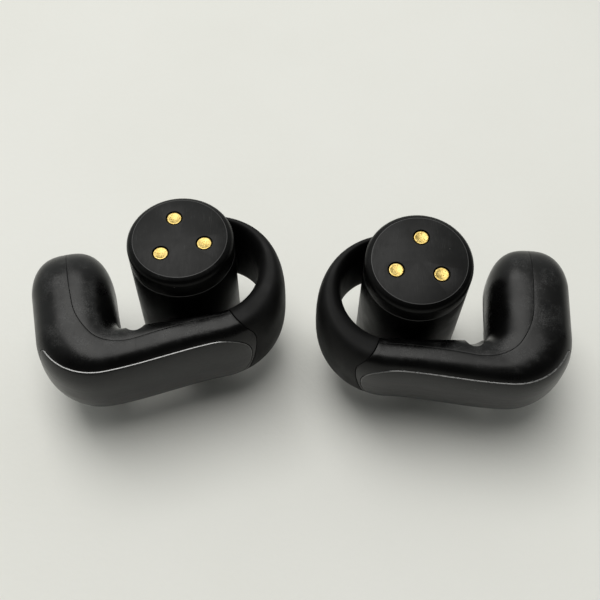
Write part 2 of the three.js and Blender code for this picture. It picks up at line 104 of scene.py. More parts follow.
# ---------------------------------------------------------------- the earbuds' own frames
def bud_matrix(side):
    """From an earbud's own frame in millimetres to the row frame in metres. The right one mirrors."""
    hand = 1 if side == "left" else -1
    mount = next(m for m in frame["record"]["mounts"] if m["name"] == f"{side}_charging_face")
    flex = next(j for j in frame["joints"] if j["name"] == f"{side}_arm_flex")
    up = Vector(mount["axis"]).normalized()
    origin = Vector(mount["pos_m"]) - up * BARREL["length"] * MM
    reach = Vector(flex["pos_m"]) - origin
    flat = (reach - up * reach.dot(up)).normalized()
    x = Matrix.Rotation(hand * math.atan2(-FLEX_PIVOT[1], FLEX_PIVOT[0]), 3, up) @ flat
    y = hand * up.cross(x)
    turn = Matrix((x, y, up)).transposed()
    return Matrix.Translation(origin) @ (turn * MM).to_4x4()


BUD = {side: bud_matrix(side) for side in SIDES}


# ---------------------------------------------------------------- the band's surface
# One band makes the lobe, the bend, the body and the arm. The place along it is u: 0 to 1 is the lobe's tip,
# to 2 the straight lobe, to 3 the bend, to 4 the body and to 5 the arm. The place round its section is phi:
# 0 is the outer face, 90 degrees the top, 180 the inner face.
def run_of_tip(t):
    angle = t * math.pi / 2
    swell = np.sin(angle) ** 0.85
    middle = (LOBE["inner"] + LOBE["outer"]) / 2
    half = (LOBE["inner"] - LOBE["outer"]) / 2 * swell
    y = LOBE["shoulder"] + LOBE["reach"] * np.cos(angle)
    centre = (LOBE["low"] + LOBE["high"]) / 2
    tall = (LOBE["high"] - LOBE["low"]) / 2 * swell
    return [middle + half, y, middle - half, y, centre - tall, centre + tall]


def run_of_lobe(t):
    inner_y = lerp(LOBE["shoulder"], BODY["inner_bend"] + BEND["inner"], t)
    outer_y = lerp(LOBE["shoulder"], BODY["outer"] + BEND["outer"], t)
    inner_x, outer_x, low, high = (np.full_like(t, LOBE[name]) for name in ("inner", "outer", "low", "high"))
    return [inner_x, inner_y, outer_x, outer_y, low, high]


def run_of_bend(t):
    angle = math.pi + t * math.pi / 2
    back, down = 1 + np.cos(angle), 1 + np.sin(angle)
    return [
        LOBE["inner"] + BEND["inner"] * back,
        BODY["inner_bend"] + BEND["inner"] * down,
        LOBE["outer"] + BEND["outer"] * back,
        BODY["outer"] + BEND["outer"] * down,
        lerp(LOBE["low"], BODY["low"], smooth(t)),
        lerp(LOBE["high"], BODY["high"], smooth(t)),
    ]


def run_of_body(t):
    same = np.ones_like(t)
    inner_x = lerp(LOBE["inner"] + BEND["inner"], ARM["start"], t)
    outer_x = lerp(LOBE["outer"] + BEND["outer"], ARM["start"], t)
    inner_y = lerp(BODY["inner_bend"], BODY["inner"], smooth(t))
    outer_y = lerp(BODY["outer"], BODY["outer_end"], smooth(t))
    return [inner_x, inner_y, outer_x, outer_y, BODY["low"] * same, BODY["high"] * same]


def run_of_arm(t):
    inner = np.radians(lerp(ARM_TURN["start"], ARM_TURN["inner"], t))
    outer = np.radians(lerp(ARM_TURN["start"], ARM_TURN["outer"], t))
    risen = smooth(np.clip(t / 0.75, 0, 1))
    return [
        ARM["start"] + ARM["inner_x"] * np.cos(inner),
        BODY["inner"] + ARM["inner_y"] * (1 + np.sin(inner)),
        ARM["start"] + ARM["outer_x"] * np.cos(outer),
        BODY["outer_end"] + ARM["outer_y"] * (1 + np.sin(outer)),
        lerp(BODY["low"], ARM["low"], risen),
        lerp(BODY["high"], ARM["high"], risen),
    ]


RUNS = (run_of_tip, run_of_lobe, run_of_bend, run_of_body, run_of_arm)


def section(u):
    """Inner x and y, outer x and y, low and high of the band's section at u."""
    u = np.clip(np.asarray(u, float), 0, len(RUNS))
    which = np.minimum(u.astype(int), len(RUNS) - 1)
    values = np.zeros((6,) + u.shape)
    for k, run in enumerate(RUNS):
        chosen = which == k
        if chosen.any():
            values[:, chosen] = np.array(run(u[chosen] - k))
    return values


def band(u, phi):
    """Points of the band's surface."""
    u, phi = np.broadcast_arrays(np.asarray(u, float), np.asarray(phi, float))
    inner_x, inner_y, outer_x, outer_y, low, high = section(u)
    power = 2 / ROUNDNESS
    across = (1 + np.sign(np.cos(phi)) * np.abs(np.cos(phi)) ** power) / 2
    up = (1 + np.sign(np.sin(phi)) * np.abs(np.sin(phi)) ** power) / 2
    return np.stack([lerp(inner_x, outer_x, across), lerp(inner_y, outer_y, across), lerp(low, high, up)], -1)


def slopes(u, phi):
    """How far the band's surface moves for each unit of u and of phi."""
    step = 1e-3
    u = np.clip(u, 2 * step, len(RUNS) - 2 * step)
    along = (band(u + step, phi) - band(u - step, phi)) / (2 * step)
    around = (band(u, phi + step) - band(u, phi - step)) / (2 * step)
    return along, around


def normals(u, phi):
    """Unit normals of the band's surface, pointing out."""
    along, around = slopes(u, phi)
    cross = np.cross(along, around)
    unit = cross / np.linalg.norm(cross, axis=-1, keepdims=True)
    at_tip = np.broadcast_to(np.asarray(u) < 1e-6, unit.shape[:-1])
    return np.where(at_tip[..., None], (0.0, 1.0, 0.0), unit)


def sunk(u, phi, depth):
    """Points below the band's surface."""
    return band(u, phi) - np.asarray(depth)[..., None] * normals(u, phi)


def solve(f, low, high, steps=34):
    """Where f changes sign between low and high, which are arrays."""
    low, high = np.array(low, float), np.array(high, float)
    sign = f(low) > 0
    for _ in range(steps):
        middle = (low + high) / 2
        same = (f(middle) > 0) == sign
        low, high = np.where(same, middle, low), np.where(same, high, middle)
    return (low + high) / 2


def catmull(points, per_span=24):
    """A smooth curve through points."""
    p = np.array([points[0], *points, points[-1]], float)
    t = np.linspace(0, 1, per_span, endpoint=False)[:, None]
    spans = []
    for a, b, c, d in zip(p, p[1:], p[2:], p[3:]):
        square, cube = a - 2.5 * b + 2 * c - d / 2, 1.5 * (b - c) + (d - a) / 2
        spans.append(b + (c - a) / 2 * t + square * t**2 + cube * t**3)
    return np.concatenate([*spans, p[-1:]])


joint_curve = catmull(JOINT)[::-1]
parting_curve = catmull(PARTING)
SEAM_REACH = (3.2, 4.75)  # the stretch of the band in which the arm's seam lies
BARREL_REACH = (4.3, 5.0)  # the stretch in which the band runs into the barrel


def seam_u(phi, shift):
    """Where the arm's seam crosses the band at phi, moved along by shift."""

    def beyond(u):
        point = band(u, phi)
        below = np.maximum(0, JOINT_CURVE["start"] - point[..., 2])
        line = np.interp(point[..., 1], joint_curve[:, 1], joint_curve[:, 0]) - JOINT_CURVE["bend"] * below**2
        return point[..., 0] - shift - line

    return solve(beyond, *(np.full_like(phi, end) for end in SEAM_REACH))


def barrel_u(phi, radius):
    """Where the band meets the barrel at phi."""

    def outside(u):
        return np.hypot(*np.moveaxis(band(u, phi)[..., :2], -1, 0)) - radius

    return solve(outside, *(np.full_like(phi, end) for end in BARREL_REACH))


def parting_table():
    """The parting line's phi along the band: where the plan line crosses each section."""
    at = np.linspace(1, 4.8, 240)
    inner_x, inner_y, outer_x, outer_y, _, _ = section(at)
    shares = []
    for ix, iy, ox, oy in zip(inner_x, inner_y, outer_x, outer_y):
        line = np.array([ox - ix, oy - iy])
        side = (parting_curve[:, 0] - ix) * line[1] - (parting_curve[:, 1] - iy) * line[0]
        share = ((parting_curve - (ix, iy)) @ line) / (line @ line)
        crossing = np.where((side[:-1] * side[1:] <= 0) & (share[:-1] > -0.2) & (share[:-1] < 1.2))[0]
        if len(crossing):
            k = crossing[0]
            shares.append(lerp(share[k], share[k + 1], side[k] / (side[k] - side[k + 1])))
        else:  # beyond the line's end the last share is held
            shares.append(shares[-1])
    across = 2 * np.array(shares) - 1
    return at, np.arccos(np.sign(across) * np.abs(across) ** (ROUNDNESS / 2))


PARTING_AT, PARTING_PHI = parting_table()


def parting_phi(u):
    return np.interp(u, PARTING_AT, PARTING_PHI)


# ---------------------------------------------------------------- meshes
SHARP = 30.0  # degrees between two faces beyond which their edge stays crisp
WELD = 2e-7  # metres within which two points become one


def make_object(name, points, faces, side, smooth_angle=SHARP, materials=None):
    """A mesh object from points of the earbud's own frame, with a material number for each face."""
    matrix = np.array(BUD[side])
    points = np.asarray(points, float).reshape(-1, 3)
    placed = points @ matrix[:3, :3].T + matrix[:3, 3]
    mesh = bpy.data.meshes.new(f"{side}_{name}")
    mesh.from_pydata(placed.tolist(), [], [list(face) for face in faces])
    if materials is not None:
        mesh.polygons.foreach_set("material_index", np.asarray(materials, np.int32))
    bm = bmesh.new()
    bm.from_mesh(mesh)
    bmesh.ops.remove_doubles(bm, verts=bm.verts, dist=WELD)
    bmesh.ops.dissolve_degenerate(bm, edges=bm.edges, dist=1e-8)
    bmesh.ops.recalc_face_normals(bm, faces=bm.faces)
    bm.to_mesh(mesh)
    bm.free()
    made = bpy.data.objects.new(f"{side}_{name}", mesh)
    bpy.context.scene.collection.objects.link(made)
    shade(made, smooth_angle)
    return made


def shade(obj, angle=SHARP):
    """Smooth faces, with edges sharper than the angle left crisp."""
    mesh = obj.data
    mesh.shade_smooth()
    mesh.set_sharp_from_angle(angle=math.radians(angle))


def grid_faces(rows, columns, closed_rows=False, closed_columns=False, first=0):
    """Quads between the points of a grid."""
    faces = []
    for i in range(rows if closed_rows else rows - 1):
        for j in range(columns if closed_columns else columns - 1):
            a, b = first + i * columns, first + (i + 1) % rows * columns
            k = (j + 1) % columns
            faces.append((a + j, a + k, b + k, b + j))
    return faces


def apply_modifiers(obj):
    """Replaces an object's mesh with what its modifiers make."""
    depsgraph = bpy.context.evaluated_depsgraph_get()
    made = bpy.data.meshes.new_from_object(obj.evaluated_get(depsgraph))
    obj.modifiers.clear()
    obj.data = made


def carve(obj, *cutters):
    """Cuts the cutters' solids out of an object."""
    for cutter in cutters:
        modifier = obj.modifiers.new("cut", "BOOLEAN")
        modifier.operation = "DIFFERENCE"
        modifier.solver = "MANIFOLD"
        modifier.object = cutter
        bpy.context.view_layer.update()
        apply_modifiers(obj)
        bpy.data.objects.remove(cutter)
    shade(obj)
    return obj


def lathe(name, side, profile, segments=128, centre=(0, 0), closed=False):
    """A solid of revolution about Z. Its (radius, z) points go up the outside, or round a closed loop."""
    profile = np.array(profile, float)
    turn = np.arange(segments) / segments * 2 * math.pi
    x, y = centre
    rings = [[(x + r * math.cos(a), y + r * math.sin(a), z) for a in turn] for r, z in profile]
    faces = grid_faces(len(profile), segments, closed_rows=closed, closed_columns=True)
    return make_object(name, rings, faces, side)


def arc(centre_r, centre_z, radius, start, end, steps=6):
    """Points of an arc, by its angles in degrees."""
    angles = np.radians(np.linspace(start, end, steps + 1))
    return [(centre_r + radius * math.cos(a), centre_z + radius * math.sin(a)) for a in angles]


# The section of a rounded edge: distance in from the edge, and depth below the face.
EDGE = [(1 - math.cos(a), 1 - math.sin(a)) for a in np.radians(np.linspace(0, 90, 5))]


# ---------------------------------------------------------------- the arm
def arm_path(u):
    """The middle of the band's plan at u, in the arm."""
    inner_x, inner_y, outer_x, outer_y, _, _ = section(u)
    return np.stack([(inner_x + outer_x) / 2, (inner_y + outer_y) / 2], -1)


def rod_rings(u, wide, tall, z, sides=16):
    """Rings of an oval rod that follows the arm's middle."""
    step = 1e-3
    middle = arm_path(u)
    ahead = arm_path(np.clip(u + step, 4, 5)) - arm_path(np.clip(u - step, 4, 5))
    ahead /= np.linalg.norm(ahead, axis=-1, keepdims=True)
    turn = np.arange(sides) / sides * 2 * math.pi
    out = np.stack([ahead[:, 1], -ahead[:, 0]], -1)
    points = np.zeros((len(middle), sides, 3))
    points[..., :2] = middle[:, None] + wide * np.cos(turn)[None, :, None] * out[:, None]
    points[..., 2] = z + tall * np.sin(turn)
    return points


def arm_u(angle):
    """The place along the band at an angle of the arm's outer arc."""
    return 4 + (angle - ARM_TURN["start"]) / (ARM_TURN["outer"] - ARM_TURN["start"])


def shrunk(ring, shares):
    """Copies of a ring drawn in towards its middle, by the share of its size that each keeps."""
    return [lerp(ring.mean(0), ring, share) for share in shares]


def rod(name, side, lift):
    """A round wire along the arm, with closed ends."""
    middle = np.linspace(arm_u(WIRE["start"]), arm_u(WIRE["end"]), 70)
    rings = rod_rings(middle, WIRE["radius"], WIRE["radius"], WIRE["z"] + lift)
    grid = np.array([*shrunk(rings[0], (0.0, 0.6, 0.9)), *rings, *shrunk(rings[-1], (0.9, 0.6, 0.0))])
    return make_object(name, grid, grid_faces(len(grid), grid.shape[1], closed_columns=True), side, 80)


def channel_cutter(side):
    """The hollow that the wires run through. Before the arm it goes on straight into the body."""
    sides, straight = 32, 10
    u = np.linspace(3.85, 5.0, 40)
    rings = rod_rings(np.clip(u, 4, 5), CHANNEL["radius"], CHANNEL["tall"], WIRE["z"], sides)
    rings[:, :, 0] += np.minimum(u - 4, 0)[:, None] * straight
    grid = np.array([*shrunk(rings[0], (0.0,)), *rings, *shrunk(rings[-1], (0.0,))])
    return make_object("channel", grid, grid_faces(len(grid), sides, closed_columns=True), side)


def arm_sleeve(side):
    """The silicone sleeve, from the S seam to the barrel, with rounded ends and a channel for the wires."""
    sides = 144
    phi = np.arange(sides) / sides * 2 * math.pi
    start, end = seam_u(phi, SEAM / 2), barrel_u(phi, BARREL["radius"] + SEAM / 2)
    pace = [np.linalg.norm(slopes(u, phi)[0], axis=-1) for u in (start, end)]
    rows = [sunk(start + ROLL * d / pace[0], phi, np.full(sides, ROLL * h)) for d, h in EDGE]
    first, last = start + ROLL / pace[0], end - ROLL / pace[1]
    rows += [band(lerp(first, last, t), phi) for t in np.linspace(0, 1, 72)[1:-1]]
    rows += [sunk(end - ROLL * d / pace[1], phi, np.full(sides, ROLL * h)) for d, h in reversed(EDGE)]
    grid = np.array([*shrunk(rows[0], (0.0, 0.4, 0.8)), *rows, *shrunk(rows[-1], (0.8, 0.4, 0.0))])
    made = make_object("arm_sleeve_fine", grid, grid_faces(len(grid), sides, closed_columns=True), side)
    return carve(made, channel_cutter(side))


# ---------------------------------------------------------------- the speaker housing
TURN_BACK = 3.6  # the place along the band where the rows start to follow the arm's seam
HOUSING_TRACK = np.concatenate([
    np.linspace(0, 1, 18)[:-1], np.linspace(1, 2, 9)[:-1], np.linspace(2, 3, 30)[:-1],
    np.linspace(3, TURN_BACK, 9)[:-1],
])
SEAM_ROWS = 24


def shell_panel(name, side, first_edge, last_edge, columns):
    """A shell piece between two edges round the section, from the lobe's tip to the arm's seam."""
    widest = 0.25  # the most that an edge may move round the section, which matters at the tip
    rolled, plain = len(EDGE), columns - 2
    count = plain + 2 * rolled
    across = [d for d, _ in EDGE] + [EDGE[-1][0]] * (plain + rolled)
    inset = np.array(across) * PARTING_ROLL + PARTING_SEAM / 2
    sink = np.array([h for _, h in EDGE]) * PARTING_ROLL
    depth_across = np.concatenate([sink, np.zeros(plain), sink[::-1]])
    share_across = np.concatenate([np.zeros(rolled), np.linspace(0, 1, columns)[1:-1], np.ones(rolled)])
    rows_u, rows_phi, rows_depth = [], [], []

    def places(u):
        """phi of every column for a row whose u may differ from column to column."""
        low, high = first_edge(u), last_edge(u)
        start = low + np.minimum(inset / np.linalg.norm(slopes(u, low)[1], axis=-1), widest)
        stop = high - np.minimum(inset[::-1] / np.linalg.norm(slopes(u, high)[1], axis=-1), widest)
        return lerp(start, stop, share_across)

    for at in HOUSING_TRACK:
        u = np.full(count, at)
        rows_u.append(u)
        rows_phi.append(places(u))
        rows_depth.append(depth_across)
    shares = np.linspace(0, 1, SEAM_ROWS)[:-1]
    for share, d, h in [(s, 1, 0) for s in shares] + [(1, d, h) for d, h in reversed(EDGE)]:
        u = np.full(count, 4.0)
        for _ in range(6):
            phi = places(u)
            end = seam_u(phi, -SEAM / 2)
            pace = np.linalg.norm(slopes(end, phi)[0], axis=-1)
            u = lerp(TURN_BACK, end - ROLL * d / pace, share)
        rows_u.append(u)
        rows_phi.append(phi)
        rows_depth.append(np.maximum(depth_across, h * ROLL))
    u, phi, depth = np.array(rows_u), np.array(rows_phi), np.array(rows_depth)
    depth[0] = 0  # every column meets in one point at the tip
    outer = sunk(u, phi, depth)
    inner = sunk(u, phi, np.full(u.shape, SHELL_WALL))
    rows, columns = u.shape
    faces = grid_faces(rows, columns)
    faces += [f[::-1] for f in grid_faces(rows, columns, first=rows * columns)]
    rim = [(i, 0) for i in range(rows)] + [(rows - 1, j) for j in range(1, columns)]
    rim += [(i, columns - 1) for i in range(rows - 2, -1, -1)] + [(0, j) for j in range(columns - 2, 0, -1)]
    flat = [i * columns + j for i, j in rim]
    for a, b in zip(flat, flat[1:] + flat[:1]):
        faces.append((a, b, b + rows * columns, a + rows * columns))
    return make_object(name, np.concatenate([outer.reshape(-1, 3), inner.reshape(-1, 3)]), faces, side)


def stadium_rings(stations, steps=20):
    """Rings of a stadium that lies across X at the nozzle, for each (x, grow)."""
    straight = (PORT["length"] - PORT["width"]) / 2
    turn = np.concatenate([np.linspace(-90, 90, steps), np.linspace(90, 270, steps)])
    shift = np.repeat([straight, -straight], steps)
    rings = []
    for x, grow in stations:
        radius = PORT["width"] / 2 + grow
        y = PORT["y"] + shift + radius * np.cos(np.radians(turn))
        z = PORT["z"] + radius * np.sin(np.radians(turn))
        rings.append(np.stack([np.full_like(y, x), y, z], -1))
    return rings


def stadium_plug(name, side, stations):
    """A solid through the stadium rings."""
    rings = stadium_rings(stations)
    grid = np.array([*shrunk(rings[0], (0.0,)), *rings, *shrunk(rings[-1], (0.0,))])
    return make_object(name, grid, grid_faces(len(grid), grid.shape[1], closed_columns=True), side)


def scallop(side):
    """The slanting round cutter of the notch."""
    sides, reach, radius = 64, 3, SCALLOP["radius"]
    turn = np.arange(sides) / sides * 2 * math.pi
    tilt = math.radians(SCALLOP["tilt"])
    rings = []
    for r, along in ((0, -reach), (radius, -reach), (radius, reach), (0, reach)):
        y, z = r * np.sin(turn), np.full_like(turn, along)
        rings.append(np.stack([
            SCALLOP["x"] + r * np.cos(turn),
            SCALLOP["y"] + y * math.cos(tilt) - z * math.sin(tilt),
            SCALLOP["z"] + y * math.sin(tilt) + z * math.cos(tilt),
        ], -1))
    return make_object("notch", rings, grid_faces(len(rings), sides, closed_columns=True), side)


def inner_cover(side):
    """The cover on the ear's side, with the nozzle's port and the notch by the bend."""
    made = shell_panel("inner_cover_fine", side, parting_phi, lambda u: 2 * math.pi - parting_phi(u), 60)
    mouth = [(-12.2, 0), (-8.72, 0), (-8.6, 0.03), (-8.45, 0.1), (-7.5, 0.6)]
    port = stadium_plug("port", side, mouth)
    ledge = stadium_plug("ledge", side, [(PORT["face"] - 1, PORT["lip"]), (PORT["face"], PORT["lip"])])
    return carve(made, port, ledge, scallop(side))


def outer_housing(side):
    """The housing behind the trim plate, with the plate's recess and the microphone's hole."""
    made = shell_panel("outer_housing_fine", side, lambda u: -parting_phi(u), parting_phi, 76)
    radius, flare, lip, clear = MIC["radius"], 0.12, 0.05, 0.3
    hole = [(0, 3), (radius + flare, 3), (radius + flare, 4.42), (radius, 4.55), (radius, 7), (0, 7)]
    wall = [(0, TRIM["thick"] + SEAM / 2), (0, lip), (-lip - clear, -clear)]
    recess = plate_solid("recess", side, -SEAM / 2, wall)
    return carve(made, recess, lathe("mic_hole", side, hole, 32, (MIC["x"], MIC["y"])))


def bezier(points, count=60):
    """Points of a cubic curve."""
    a, b, c, d = np.array(points, float)
    t = np.linspace(0, 1, count)[:, None]
    return (1 - t) ** 3 * a + 3 * t * (1 - t) ** 2 * b + 3 * t**2 * (1 - t) * c + t**3 * d


def outer_length():
    """Places along the band, and the distance along its outer face to each."""
    at = np.linspace(1, 4.6, 1200)
    _, _, x, y, _, _ = section(at)
    distance = np.concatenate([[0], np.cumsum(np.hypot(np.diff(x), np.diff(y)))])
    return at, distance, x, y


OUTER_AT, OUTER_LENGTH, OUTER_X, OUTER_Y = outer_length()
PLATE_LEFT = OUTER_LENGTH[np.argmax((OUTER_AT > 2) & (OUTER_Y < TRIM["edge"]))]  # its end in the bend
PLATE_RIGHT = OUTER_LENGTH[np.argmax((OUTER_AT > 4) & (OUTER_X > TRIM["right"]))]  # its end at the arm


def plate_outline():
    """The trim plate's outline as distance along the outer face and height, and the spine it closes on."""
    low, high, corner = TRIM["low"], TRIM["high"], 0.6
    start = PLATE_RIGHT - TRIM["end"]
    tip = (PLATE_RIGHT, TRIM["tip"])
    over = bezier([(start, high), (start + 2.6, high), (PLATE_RIGHT, high - 1.2), tip])
    under = bezier([(start, low), (start + 3, low), (PLATE_RIGHT, low + 2.4), tip])
    pace = np.cos(np.linspace(0, math.pi, 120))  # close rows at both ends
    along = (PLATE_LEFT + PLATE_RIGHT) / 2 - (PLATE_RIGHT - PLATE_LEFT) / 2 * pace
    into = np.clip(corner - (along - PLATE_LEFT), 0, corner)
    rounding = corner - np.sqrt(corner**2 - into**2)
    top = np.interp(along, over[:, 0], over[:, 1]) - rounding
    bottom = np.interp(along, under[:, 0], under[:, 1]) + rounding
    edge = np.linspace(top[0], bottom[0], 9)[1:-1]
    line = np.concatenate([
        np.stack([along, bottom], -1),
        np.stack([along, top], -1)[-2::-1],
        np.stack([np.full_like(edge, PLATE_LEFT), edge], -1),
    ])
    half = (high - low) / 2
    spine = np.stack([np.clip(line[:, 0], PLATE_LEFT + half, PLATE_RIGHT - half),
                      np.full(len(line), (high + low) / 2)], -1)
    return line, spine


def on_outer_face(points, depth):
    """Points given by distance along the outer face and height, moved below the surface."""
    u = np.interp(points[:, 0], OUTER_LENGTH, OUTER_AT)
    _, _, _, _, low, high = section(u)
    up = np.clip((2 * points[:, 1] - low - high) / (high - low), -0.999, 0.999)
    phi = np.arcsin(np.sign(up) * np.abs(up) ** (ROUNDNESS / 2))
    return sunk(u, phi, np.full(len(u), depth))


def plate_solid(name, side, inset, profile, bezel=()):
    """A plate that lies in the outer face. The profile is its section at the edge, from back to front, as
    distance in from the outline and depth. The bezel is the steps of the profile with the second material."""
    line, spine = plate_outline()
    ahead = np.roll(line, -1, 0) - np.roll(line, 1, 0)
    ahead /= np.linalg.norm(ahead, axis=1, keepdims=True)
    inward = np.stack([-ahead[:, 1], ahead[:, 0]], -1)
    shares = (0.06, 0.14, 0.24, 0.36, 0.48, 0.6, 0.72, 0.84, 0.93, 1.0)
    edges = [(line + inward * (inset + d), depth) for d, depth in profile]
    back = [(lerp(edges[0][0], spine, t), profile[0][1]) for t in reversed(shares)]
    front = [(lerp(edges[-1][0], spine, t), profile[-1][1]) for t in shares]
    grid = np.array([on_outer_face(points, depth) for points, depth in [*back, *edges, *front]])
    faces = grid_faces(len(grid), len(line), closed_columns=True)
    materials = np.zeros(len(faces), int)
    for step in bezel:
        first = (len(back) + step) * len(line)
        materials[first:first + len(line)] = 1
    return make_object(name, grid, faces, side, materials=materials)


def trim_plate(side):
    """The trim plate with its polished bevel. Its face stands a hair proud of the housing."""
    bevel, proud = 0.06, 0.03
    profile = [
        (0, TRIM["thick"]), (0, bevel), (0.02, bevel - proud), (bevel, 0.01 - proud), (bevel + 0.04, -proud),
    ]
    return plate_solid("trim_plate_fine", side, 0.0, profile, bezel=(1, 2, 3))


def woven_mesh(side):
    """The nozzle's mesh: a thin stadium frame filled with crossing wires that weave over and under."""
    pitch, wire, wave, sides = 0.22, 0.042, 0.045, 6
    face = PORT["face"] - 0.25
    straight = (PORT["length"] - PORT["width"]) / 2
    reach = PORT["width"] / 2 + 0.2
    rings = stadium_rings([(face - 0.12, 0.4), (face + 0.12, 0.4), (face + 0.12, 0.12), (face - 0.12, 0.12)])
    points = list(np.array(rings).reshape(-1, 3))
    faces = grid_faces(len(rings), len(rings[0]), closed_rows=True, closed_columns=True)
    turn = np.arange(sides) / sides * 2 * math.pi

    def add_wire(path):
        first = len(points)
        ahead = np.gradient(path, axis=0)
        ahead /= np.linalg.norm(ahead, axis=1, keepdims=True)
        across = np.cross(ahead, (1.0, 0.0, 0.0))
        across /= np.linalg.norm(across, axis=1, keepdims=True)
        out = np.cross(across, ahead)
        for centre, a, b in zip(path, across, out):
            points.extend(centre + wire * (math.cos(t) * a + math.sin(t) * b) for t in turn)
        faces.extend(grid_faces(len(path), sides, closed_columns=True, first=first))
        faces.append(tuple(range(first + sides - 1, first - 1, -1)))
        end = first + (len(path) - 1) * sides
        faces.append(tuple(range(end, end + sides)))

    for k in range(-int(reach / pitch), int(reach / pitch) + 1):
        z = k * pitch
        length = straight + math.sqrt(max(reach**2 - z**2, 0))
        y = np.linspace(-length, length, int(length / pitch * 10) + 2)
        bend = wave * np.cos(y / pitch * math.pi) * (1 if k % 2 else -1)
        add_wire(np.stack([face + bend, PORT["y"] + y, np.full_like(y, PORT["z"] + z)], -1))
    for k in range(-int((straight + reach) / pitch), int((straight + reach) / pitch) + 1):
        y = k * pitch
        beyond = max(abs(y) - straight, 0)
        if beyond >= reach:
            continue
        length = math.sqrt(reach**2 - beyond**2)
        z = np.linspace(-length, length, int(length / pitch * 10) + 2)
        bend = wave * np.cos(z / pitch * math.pi) * (-1 if k % 2 else 1)
        add_wire(np.stack([face + bend, np.full_like(z, PORT["y"] + y), PORT["z"] + z], -1))
    return make_object("nozzle_mesh_fine", points, faces, side, 60)


# ---------------------------------------------------------------- the barrel
CAP_LOW = BARREL["length"] - CAP["height"]


def barrel_shell(side):
    """The battery barrel: a thin-walled tube with a rounded foot, a rim for the cap and the arm's hole."""
    radius, edge, lip = BARREL["radius"], BARREL["edge"], BARREL["lip"]
    top, bore, hole = CAP_LOW - SEAM / 2, radius - BARREL["wall"], BUTTON["radius"] + 0.15
    seat = GASKET["outer"] + FIT
    profile = [
        *arc(hole + lip, lip, lip, 180, 270), *arc(radius - edge, edge, edge, -90, 0, 12),
        *arc(radius - lip, top - lip, lip, 0, 90), (seat, top), (seat, top - GASKET["depth"]),
        (bore, top - GASKET["depth"]), (bore, BARREL["floor"]), (hole, BARREL["floor"]),
    ]
    return carve(lathe("barrel_shell_fine", side, profile, closed=True), channel_cutter(side))


def contact_places():
    for k in range(3):
        angle = math.radians(CONTACT["turn"] + 120 * k)
        yield CONTACT["circle"] * math.cos(angle), CONTACT["circle"] * math.sin(angle)


def charging_cap(side):
    """The cap with a flat charging face, a crisp edge round it, a steep shoulder and three contact holes."""
    radius, length, lip = BARREL["radius"], BARREL["length"], 0.06
    shoulder, crisp = CAP["shoulder"], CAP["flat"] + 0.06
    low = CAP_LOW + SEAM / 2
    skirt = radius - BARREL["wall"] - FIT
    inside = skirt - CAP["skirt_wall"]
    profile = [
        (inside, low - CAP["skirt"]), (skirt, low - CAP["skirt"]), (skirt, low),
        *arc(radius - lip, low + lip, lip, -90, 0),
        *arc(radius - shoulder, length - shoulder, shoulder, 0, 52, 10),
        (crisp, length - CAP["bevel"]), (CAP["flat"], length), (0, length), (0, length - CAP["roof"]),
        (inside, length - CAP["roof"]),
    ]
    made = lathe("charging_cap_fine", side, profile, closed=True)
    hole, flare = CONTACT["radius"] + FIT, 0.1
    bore = [
        (0, length - 2), (hole, length - 2), (hole, length - flare), (hole + flare, length + 0.01),
        (hole + flare, length + 1), (0, length + 1),
    ]
    return carve(made, *[lathe("hole", side, bore, 48, place) for place in contact_places()])


def contact_pin(side, number, place):
    """A gold headed pin: a thin raised rim round a slightly domed face."""
    radius, stem, lip = CONTACT["radius"], CONTACT["stem"], 0.07
    top = BARREL["length"] - CONTACT["sunk"]
    neck, foot = top - CAP["roof"] - 0.3, CONTACT_BOARD_TOP + FIT
    profile = [
        (0, foot), (stem, foot), (stem, neck), (radius, neck + 0.25),
        *arc(radius - lip, top - lip, lip, 0, 80), (0.64, top + 0.01), (0.58, top - 0.015), (0, top),
    ]
    return lathe(f"contact_pin_{number}_fine", side, profile, 64, place)


def button_cap(side):
    """The button in the barrel's foot, with a shallow dish for a fingertip."""
    radius, flange, stem, seat = BUTTON["radius"], BUTTON["flange"], BUTTON["stem"], BARREL["floor"] + FIT
    foot, end = BUTTON["sunk"], BUTTON["stem_end"]
    lip, deep, thick, bevel = 0.25, 0.25, 0.5, 0.1
    dish = [(r, foot + deep * (1 - (r / (radius - lip)) ** 2)) for r in np.linspace(0, radius - lip, 12)]
    profile = [
        *dish[:-1], *arc(radius - lip, foot + lip, lip, -90, 0), (radius, seat), (flange, seat),
        (flange, seat + thick), (stem, seat + thick), (stem, end - bevel), (stem - bevel, end), (0, end),
    ]
    return lathe("button_cap_fine", side, profile)


